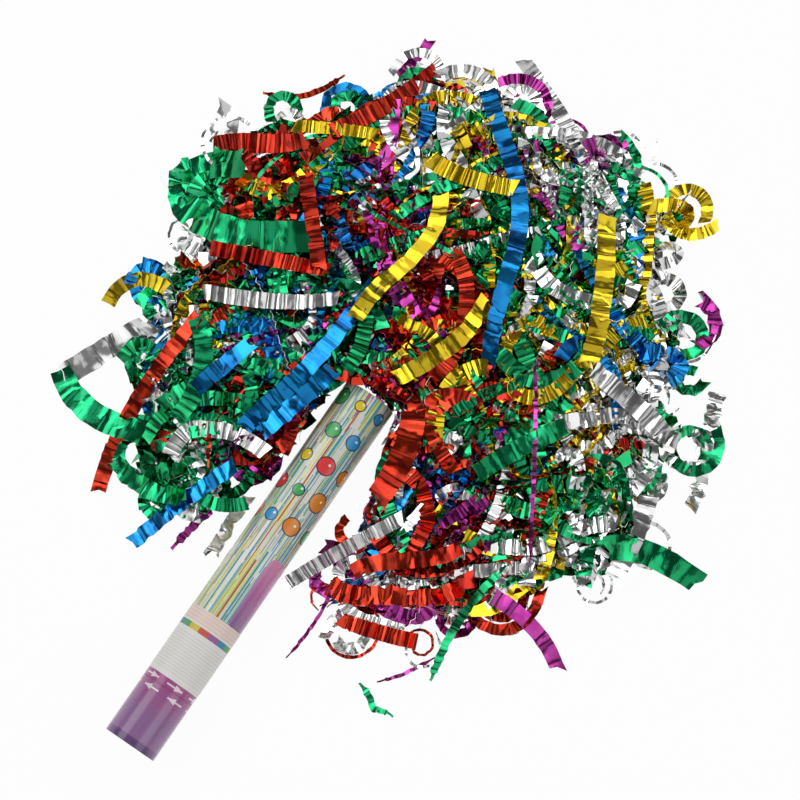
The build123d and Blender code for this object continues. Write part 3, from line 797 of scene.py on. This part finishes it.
# Laid streamers, named by colour: strip, width share, share of the dome's height, end tilts, pixels along it
laid_streamers = {
    "red_far_left": (
        "flat", 0.95, 1.035, 0.3, -0.2, (196, 318), (165, 358), (135, 400), (112, 445), (98, 492),
    ),
    "blue_low_left": ("flat", 1.0, 1.0, 0.2, 0.4, (234, 466), (195, 492), (162, 516), (130, 545)),
    "blue_by_tube": (
        "flat", 1.1, 1.018, 0.5, -0.3, (372, 286), (345, 325), (315, 360), (288, 388), (262, 410), (243, 428),
    ),
    "blue_mouth": ("flat", 1.1, 1.0, -0.2, 0.3, (330, 372), (312, 390), (290, 408), (262, 432)),
    "gold_bent": (
        "flat", 1.0, 1.09, 0.4, 0.1, (441, 196), (440, 222), (425, 245), (398, 272), (372, 290), (355, 318),
    ),
    "gold_to_mouth": (
        "flat", 1.05, 1.035, -0.4, 0.2, (486, 300), (470, 332), (440, 354), (416, 368), (394, 380),
    ),
    "blue_long": (
        "flat", 1.05, 1.052, 0.1, -0.5, (487, 90), (500, 130), (514, 165), (522, 205), (518, 245), (504, 285),
        (492, 330), (488, 364),
    ),
    "gold_upright": (
        "flat", 1.15, 1.042, -0.2, 0.2, (607, 218), (607, 262), (602, 305), (596, 340), (588, 366),
    ),
    "gold_top": ("accordion", 1.1, 1.042, 0.2, -0.1, (434, 162), (460, 178), (486, 183), (514, 188)),
    "green_loop": (
        "wide", 1.0, 1.105, 0.2, 0.3, (240, 163), (200, 162), (176, 186), (186, 212), (216, 228), (255, 240),
        (306, 236),
    ),
    "silver_leaf": ("wide", 0.75, 1.07, -0.5, -0.3, (145, 326), (104, 350), (62, 377)),
    "green_leaf": ("wide", 0.8, 1.0, 0.4, -0.2, (62, 372), (72, 408), (106, 424), (140, 432)),
    "red_top_left": ("accordion", 1.1, 1.042, 0.1, 0.4, (335, 130), (382, 112), (412, 90), (442, 66)),
    "red_left_top": ("accordion", 1.3, 1.035, 0.3, -0.3, (216, 146), (248, 138), (276, 150), (306, 138)),
    "silver_top": ("accordion", 1.0, 1.035, 0.4, 0.0, (526, 64), (545, 92), (560, 112), (574, 138)),
    "silver_right": ("flat", 1.2, 1.052, -0.2, 0.2, (596, 372), (622, 394), (645, 412), (664, 434)),
    "silver_far_right": ("crumpled", 1.0, 1.0, 0.2, 0.6, (718, 392), (706, 430), (712, 465), (690, 508)),
    "green_low_right": ("wide", 0.8, 1.0, 0.1, -0.3, (694, 580), (665, 560), (640, 545), (606, 548)),
    "green_across": ("flat", 1.1, 1.042, 0.1, 0.4, (476, 474), (505, 455), (535, 440), (566, 426)),
    "red_by_tube": ("flat", 1.5, 1.0, 0.3, -0.4, (413, 414), (412, 442), (396, 474), (376, 500)),
    "red_low_one": (
        "crumpled", 1.2, 1.03, 0.3, -0.5, (328, 584), (356, 604), (392, 586), (436, 606), (474, 578),
    ),
    "red_low_two": ("accordion", 1.0, 1.018, -0.3, 0.3, (342, 620), (378, 634), (418, 642)),
    "red_low_three": ("flat", 1.0, 1.05, 0.5, -0.4, (352, 572), (386, 552), (420, 570), (462, 548)),
    "magenta_low": ("flat", 0.95, 1.0, 0.2, -0.3, (496, 598), (525, 615), (548, 640), (558, 670)),
    "green_trail": ("thread", 1.9, 1.0, 0.6, -0.6, (504, 568), (470, 600), (445, 635), (430, 684)),
    "green_bit": ("thread", 1.7, 1.0, 0.5, -0.6, (360, 684), (376, 700), (366, 714), (382, 708), (394, 717)),
    "magenta_trail_one": ("thread", 0.9, 1.0, 0.1, 0.5, (332, 588), (320, 622), (286, 658)),
    "magenta_trail_two": ("thread", 1.0, 1.0, 0.3, 0.1, (434, 658), (402, 678), (376, 682)),
    "magenta_by_tube": ("thread", 2.0, 1.035, 0.3, -0.3, (172, 548), (195, 524), (218, 502)),
    "magenta_thread": ("thread", 1.0, 1.07, 0.8, -0.8, (535, 358), (538, 430), (532, 500), (530, 564)),
    "silver_by_red": ("accordion", 0.9, 1.0, 0.4, -0.2, (286, 584), (320, 562), (352, 545), (402, 518)),
    "silver_by_tube": ("crumpled", 0.9, 1.0, 0.2, 0.4, (212, 554), (224, 530), (238, 512), (248, 496)),
    "gold_ring": (
        "accordion", 0.9, 1.035, 0.4, 0.8, (654, 206), (682, 202), (696, 216), (682, 230), (658, 222),
    ),
    "silver_ring": ("accordion", 0.8, 1.0, 0.3, 0.6, (662, 264), (686, 258), (682, 244), (660, 246)),
    "blue_clump": ("crumpled", 1.1, 1.035, 0.2, -0.5, (636, 352), (668, 348), (696, 362), (668, 382)),
    "magenta_clump": ("crumpled", 1.0, 1.0, 0.3, 0.4, (700, 300), (726, 316), (718, 340), (696, 346)),
    "gold_crown": ("accordion", 0.8, 1.035, 0.2, -0.2, (298, 126), (338, 128), (376, 134)),
    "red_upright": ("flat", 0.9, 1.052, 0.2, -0.2, (306, 178), (312, 222), (320, 270)),
    "silver_band": ("accordion", 1.0, 1.035, 0.5, -0.3, (206, 292), (250, 300), (292, 306), (338, 298)),
    "red_band": ("accordion", 1.0, 1.035, 0.2, -0.4, (212, 248), (250, 256), (290, 262), (328, 270)),
    "gold_curl_left": ("flat", 0.9, 1.0, 0.2, 0.5, (108, 304), (118, 280), (144, 270), (168, 290)),
    "blue_left": ("flat", 1.0, 1.035, 0.3, -0.4, (196, 388), (222, 366), (248, 346)),
    "green_left": ("flat", 1.1, 1.035, 0.5, 0.0, (176, 420), (200, 392), (214, 350), (196, 318)),
    "silver_low_right": ("flat", 1.2, 1.0, 0.3, -0.2, (648, 500), (636, 540), (612, 580)),
    "magenta_top": ("crumpled", 1.1, 1.035, 0.2, 0.5, (584, 150), (604, 136), (632, 142), (618, 156)),
    "red_crown": ("thread", 1.4, 1.0, 0.5, 0.2, (262, 92), (290, 104), (318, 96), (346, 74)),
    "magenta_crown": ("crumpled", 0.7, 1.0, 0.4, -0.3, (398, 78), (412, 62), (428, 44)),
    "green_low_left": ("crumpled", 1.1, 1.0, 0.4, -0.3, (116, 462), (134, 486), (160, 500), (186, 494)),
}

# Laid streamers lie over the loose ones, and come down to the table outside the heap
laid_seed = 77
laid_rise = 0.0020
set_down_pixels = 26
lean_stray = 0.15
settling_passes = 3


def lay_by_photo():
    draw = random.Random(laid_seed)
    for number, (name, row) in enumerate(laid_streamers.items()):
        kind, width, share, tilt, end_tilt, *pixels = row
        half_width = strip_kinds[kind][0] * width / 2
        points = []
        for step, pixel in enumerate(pixels):
            lean = tilt + (end_tilt - tilt) * step / (len(pixels) - 1)
            lean += draw.uniform(-lean_stray, lean_stray)
            carried = max(0.0, 1 - beyond_outline(pixel) / set_down_pixels)
            place = spot(pixel, table)
            for _ in range(settling_passes):
                height = heap_height(place, share * carried, half_width, lean)
                place = spot(pixel, height + laid_rise * carried)
            points.append((place, lean))
        lay_streamer(name.partition("_")[0], kind, points, width, number)


# Where each colour gathers: the colours most seen round a pixel
colour_patches = {
    (250, 130): "red silver red", (330, 150): "red green red gold", (400, 120): "green red silver blue",
    (460, 120): "green gold silver", (470, 180): "gold gold green silver",
    (545, 140): "silver magenta green", (600, 170): "gold silver green silver",
    (650, 215): "gold silver green", (620, 260): "gold green silver blue", (670, 350): "blue green silver",
    (650, 430): "silver silver green", (606, 480): "green silver green gold",
    (580, 560): "green silver silver", (532, 522): "gold green red green",
    (420, 600): "red red silver magenta", (370, 600): "red silver red magenta",
    (450, 500): "magenta red blue green", (420, 450): "red red magenta silver",
    (540, 440): "gold green gold red", (500, 400): "red green green", (570, 330): "gold gold green silver",
    (440, 320): "gold magenta red red", (510, 260): "blue gold green green",
    (380, 220): "green red red magenta", (300, 250): "green green blue red", (230, 220): "green silver red",
    (170, 300): "silver gold green blue", (150, 400): "green silver green",
    (210, 380): "green green silver green", (260, 400): "blue red green green",
    (288, 446): "red red magenta green", (190, 460): "green silver green",
    (330, 340): "blue red green magenta",
}
patch_blur = (0.6, 1.4)


def clear_of_tube(place, half_width):
    """In front of the mouth, or beside the tube without hiding it from the camera"""
    if place.x > mouth + mouth_gap + mouth_width_share * half_width:
        return True
    apart = tube_radius + tube_clearance + half_width
    seen = spot(pixel_of(place), 0)
    return hypot(place.y, place.z) > apart and abs(seen.y) > tube_radius + half_width


def patch_colour(draw, place):
    """A colour from the patch that lies about nearest"""
    pixel = Vector(pixel_of(place))
    gaps = {middle: (Vector(middle) - pixel).length * draw.uniform(*patch_blur) for middle in colour_patches}
    return draw.choice(colour_patches[min(gaps, key=gaps.get)].split())


def start_place(draw, area):
    """A place in the whole heap, or near one of an area's pixels"""
    if area is None:
        return heap_centre + Vector((draw.uniform(-1, 1), draw.uniform(-1, 1), 0)) * heap_reach
    across, down, spread = draw.choice(area)
    return spot((draw.gauss(across, spread), draw.gauss(down, spread)), table)


def wander(draw, steps, stride, turn, lean, area):
    """A streamer's way over the table inside the heap's outline, or None where it would leave it"""
    place = start_place(draw, area)
    heading = draw.uniform(0, 2 * pi)
    bias = draw.uniform(-lean, lean)
    places = []
    for _ in range(steps):
        if not inside_outline(pixel_of(Vector((place.x, place.y, table)))):
            return None
        places.append(place.copy())
        heading += bias + draw.gauss(0, turn)
        place = place + toward(heading) * stride * draw.uniform(*stride_span)
    return places


# Parts of the heap that are filled more densely: pixel across and down, spread round it
mouth_area = [(322, 366, 26), (300, 392, 26), (408, 428, 24), (384, 372, 22), (408, 470, 24)]
rim_area = [
    (384, 380, 9), (362, 372, 9), (346, 372, 8), (404, 402, 8), (404, 426, 9), (330, 392, 9),
    (396, 409, 5), (388, 402, 5),
]
left_area = [(165, 370, 42), (205, 430, 40), (165, 470, 34), (230, 330, 40)]
right_area = [(640, 430, 36), (620, 530, 36), (655, 320, 30), (560, 560, 34)]
tube_side_area = [(318, 404, 9), (302, 424, 10), (286, 444, 11), (270, 466, 10)]
low_area = [(400, 600, 40), (470, 560, 40), (360, 590, 30)]

# How loose streamers vary
loose_seed = 500
stride_span = (0.7, 1.3)
turned_over_share = 0.08
tilt_spread = 0.45
share_stray = 0.06
loose_width_span = (0.75, 1.1)

# Loose streamers: how many, strip, points, stride, turn, lean, least and most share of height, twist, area
loose_streamers = [
    (130, "crumpled", 14, 0.014, 0.75, 0.25, 0.15, 0.75, 1.8, None),
    (80, "accordion", 8, 0.034, 0.35, 0.30, 0.20, 0.85, 1.2, None),
    (80, "flat", 8, 0.036, 0.30, 0.25, 0.20, 0.85, 1.2, None),
    (90, "accordion", 12, 0.016, 0.30, 0.45, 0.45, 0.92, 0.9, None),
    (150, "crumpled", 10, 0.015, 0.70, 0.30, 0.60, 0.93, 1.5, None),
    (120, "flat", 7, 0.022, 0.42, 0.40, 0.65, 0.94, 1.2, None),
    (60, "accordion", 7, 0.026, 0.30, 0.35, 0.75, 0.94, 0.8, None),
    (30, "thread", 9, 0.020, 0.45, 0.40, 0.85, 0.98, 1.6, None),
    (150, "shred", 7, 0.011, 0.80, 0.40, 0.55, 0.92, 2.2, None),
    (44, "accordion", 6, 0.017, 0.35, 0.35, 0.30, 0.92, 1.0, mouth_area),
    (44, "flat", 6, 0.017, 0.35, 0.35, 0.30, 0.92, 1.0, mouth_area),
    (40, "crumpled", 8, 0.013, 0.70, 0.35, 0.20, 0.90, 1.5, mouth_area),
    (110, "shred", 6, 0.010, 0.70, 0.40, 0.12, 0.85, 2.0, rim_area),
    (60, "thread", 6, 0.009, 0.70, 0.40, 0.12, 0.85, 2.0, rim_area),
    (34, "flat", 5, 0.014, 0.40, 0.35, 0.15, 0.85, 1.2, tube_side_area),
    (26, "crumpled", 6, 0.012, 0.60, 0.35, 0.10, 0.85, 1.4, tube_side_area),
    (36, "flat", 7, 0.020, 0.35, 0.35, 0.30, 0.95, 1.1, left_area),
    (36, "accordion", 7, 0.020, 0.35, 0.35, 0.30, 0.95, 1.0, left_area),
    (30, "crumpled", 8, 0.014, 0.70, 0.35, 0.20, 0.95, 1.5, left_area),
    (30, "flat", 7, 0.020, 0.35, 0.35, 0.30, 0.95, 1.1, right_area),
    (30, "crumpled", 8, 0.014, 0.70, 0.35, 0.20, 0.95, 1.5, right_area),
    (30, "accordion", 7, 0.020, 0.35, 0.35, 0.40, 0.95, 1.0, low_area),
]


def strew_loose():
    for group, (count, kind, *course, low, high, twist, area) in enumerate(loose_streamers):
        draw = random.Random(loose_seed + group)
        half_width = strip_kinds[kind][0] / 2
        laid = 0
        while laid < count:
            way = wander(draw, *course, area)
            if way is None:
                continue
            share = draw.uniform(low, high)
            face = pi if draw.random() < turned_over_share else 0
            tilt, turning = draw.gauss(0, tilt_spread) + face, draw.gauss(0, twist) / len(way)
            points = []
            for step, place in enumerate(way):
                lean = tilt + turning * step
                share_here = share + draw.uniform(-share_stray, share_stray)
                height = heap_height(place, share_here, half_width, lean)
                points.append((Vector((place.x, place.y, height)), lean))
            if all(clear_of_tube(place, half_width) for place, _ in points):
                colour = patch_colour(draw, points[len(points) // 2][0])
                width = draw.uniform(*loose_width_span)
                lay_streamer(colour, kind, points, width, draw.randrange(strip_variants))
                laid += 1


# Curls at the heap's edge: pixels in from the outline, radius, turns, growth and rise at each step, lean
curl_seed, curl_count = 905, 88
curl_kinds = ("accordion", "flat", "thread", "crumpled")
curl_inset_span = (-14, 26)
curl_radius_span = (0.008, 0.020)
curl_turns_span = (0.6, 1.5)
curl_steps_a_turn = 9
curl_growth, curl_rise = 0.08, 0.0012
curl_lean, curl_lean_step = 0.5, 0.6
curl_half_width = 0.006
curl_width_span = (0.6, 0.9)


def strew_curls():
    draw = random.Random(curl_seed)
    for number in range(curl_count):
        pixel = Vector(heap_outline[number % len(heap_outline)])
        inward = (heap_middle - pixel).normalized()
        start = spot(pixel + inward * draw.uniform(*curl_inset_span), table)
        radius = draw.uniform(*curl_radius_span)
        heading = draw.uniform(0, 2 * pi)
        turns = draw.uniform(*curl_turns_span)
        points = []
        for step in range(round(curl_steps_a_turn * turns) + 2):
            angle = heading + step * 2 * pi / curl_steps_a_turn
            place = start + toward(angle) * (radius * (1 + curl_growth * step))
            lean = curl_lean * sin(step * curl_lean_step + heading)
            place.z = table + fold_clearance + curl_half_width * abs(sin(lean)) + curl_rise * step
            points.append((place, lean))
        if all(clear_of_tube(place, curl_half_width) for place, _ in points):
            kind = draw.choice(curl_kinds)
            colour = patch_colour(draw, start)
            lay_streamer(colour, kind, points, draw.uniform(*curl_width_span), number)


def join_streamers():
    """One piece for each colour, in place of the heap's plain strips"""
    for colour, copies in streamers.items():
        bpy.ops.object.select_all(action="DESELECT")
        for copy in copies:
            copy.select_set(True)
        bpy.context.view_layer.objects.active = copies[0]
        bpy.ops.object.convert(target="MESH")
        bpy.ops.object.join()
        bpy.ops.object.shade_smooth_by_angle(angle=crease_angle)
        piece = bpy.context.object
        piece.name = f"{colour}_streamers"
        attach(piece, "streamer_heap")
        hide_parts(f"streamers_{colour}")
    for route in routes:
        bpy.data.objects.remove(route)


def make_streamers():
    make_strips()
    lay_by_photo()
    strew_loose()
    strew_curls()
    join_streamers()
    for strip in strips.values():
        bpy.data.objects.remove(strip)


# Table and light
table_size, table_drop = 14, 0.0003
table_grey, table_glow = 0.86, 0.96
world_strength = 0.92


def set_table():
    bpy.ops.mesh.primitive_plane_add(size=table_size, location=(view_aim.x, view_aim.y, table - table_drop))
    floor = bpy.context.object
    floor.name = "table"
    material = bpy.data.materials.new("white_table")
    material.use_nodes = True
    tree = material.node_tree
    tree.nodes.clear()
    paths = tree.nodes.new("ShaderNodeLightPath").outputs
    seen = calc(tree, "MAXIMUM", paths["Is Camera Ray"],
                calc(tree, "MAXIMUM", paths["Is Glossy Ray"], paths["Is Transmission Ray"]))
    lit = node(tree, "BsdfDiffuse", named={"Color": [table_grey] * 3})
    white = node(tree, "Emission", named={"Color": (1, 1, 1), "Strength": 1.0})
    mixed = node(tree, "MixShader", product(tree, seen, table_glow), lit, white)
    tree.links.new(mixed, tree.nodes.new("ShaderNodeOutputMaterial").inputs[0])
    floor.data.materials.append(material)


def soft_box(name, azimuth, elevation, distance, width, height, brightness):
    data = bpy.data.lights.new(name, "AREA")
    data.shape = "RECTANGLE"
    data.size, data.size_y = width, height
    data.energy = brightness * pi * width * height
    lamp = new_object(name, data)
    turn, rise = radians(azimuth), radians(elevation)
    way = Vector((cos(turn) * cos(rise), sin(turn) * cos(rise), sin(rise)))
    lamp.location = view_aim + way * distance
    lamp.rotation_euler = way.to_track_quat("Z", "Y").to_euler()
    lamp.visible_camera = False


# The ceiling's strip lights, seen round the tube's axis: degrees from overhead, brightness
strip_lights = [
    (-90, 0.85), (-72, 0.80), (-64, 0.10), (-50, 0.08), (-45, 1.15), (-24, 1.15), (-19, 0.22), (-6, 0.20),
    (-2, 0.72), (13, 0.72), (17, 0.12), (29, 0.10), (34, 1.2), (56, 1.2), (61, 0.12), (74, 0.15), (82, 0.85),
]

# Dark bars across the strip lights: waves, shift, the height above which a wave is dark
bar_waves, bar_shift, bar_least = 7.0, 0.9, 0.72
bar_colour = (0.10, 0.10, 0.105)

# Light near the table, up to the horizon
horizon_colour = (0.9, 0.9, 0.9)
horizon_stops = [(0.53, (1, 1, 1)), (0.62, (0, 0, 0))]

# Soft boxes: azimuth, elevation, distance, width, height, brightness
soft_boxes = {
    "key_box": (95, 48, 1.9, 1.5, 1.1, 1.8),
    "fill_box": (-110, 42, 1.9, 1.5, 1.1, 1.25),
    "far_box": (10, 38, 2.1, 1.6, 0.7, 1.4),
}


def set_light():
    world = bpy.data.worlds.new("studio")
    bpy.context.scene.world = world
    world.use_nodes = True
    tree = world.node_tree
    tree.nodes.clear()
    x, y, z = axes_of(tree, node(tree, "TexCoord", out=0))
    height = calc(tree, "MULTIPLY_ADD", z, 0.5, 0.5)
    side = calc(tree, "ARCTAN2", y, calc(tree, "ABSOLUTE", z))
    overhead = ramp(tree, calc(tree, "MULTIPLY_ADD", side, 1 / pi, 0.5), [
        ((angle + 90) / 180, (level, level, level)) for angle, level in strip_lights
    ])
    wave = calc(tree, "SINE", calc(tree, "MULTIPLY_ADD", x, bar_waves, bar_shift))
    overhead = blend(tree, calc(tree, "GREATER_THAN", wave, bar_least), overhead, bar_colour)
    sky = blend(tree, ramp(tree, height, horizon_stops), overhead, horizon_colour)
    glow = node(tree, "Background", named={"Color": sky, "Strength": world_strength})
    white = node(tree, "Background", named={"Color": (1, 1, 1), "Strength": 1.0})
    seen = tree.nodes.new("ShaderNodeLightPath").outputs["Is Camera Ray"]
    mixed = node(tree, "MixShader", seen, glow, white)
    tree.links.new(mixed, tree.nodes.new("ShaderNodeOutputWorld").inputs[0])
    for name, setting in soft_boxes.items():
        soft_box(name, *setting)
    bpy.context.scene.view_settings.view_transform = "Standard"


dress_tube()
make_streamers()
set_camera()
set_table()
set_light()
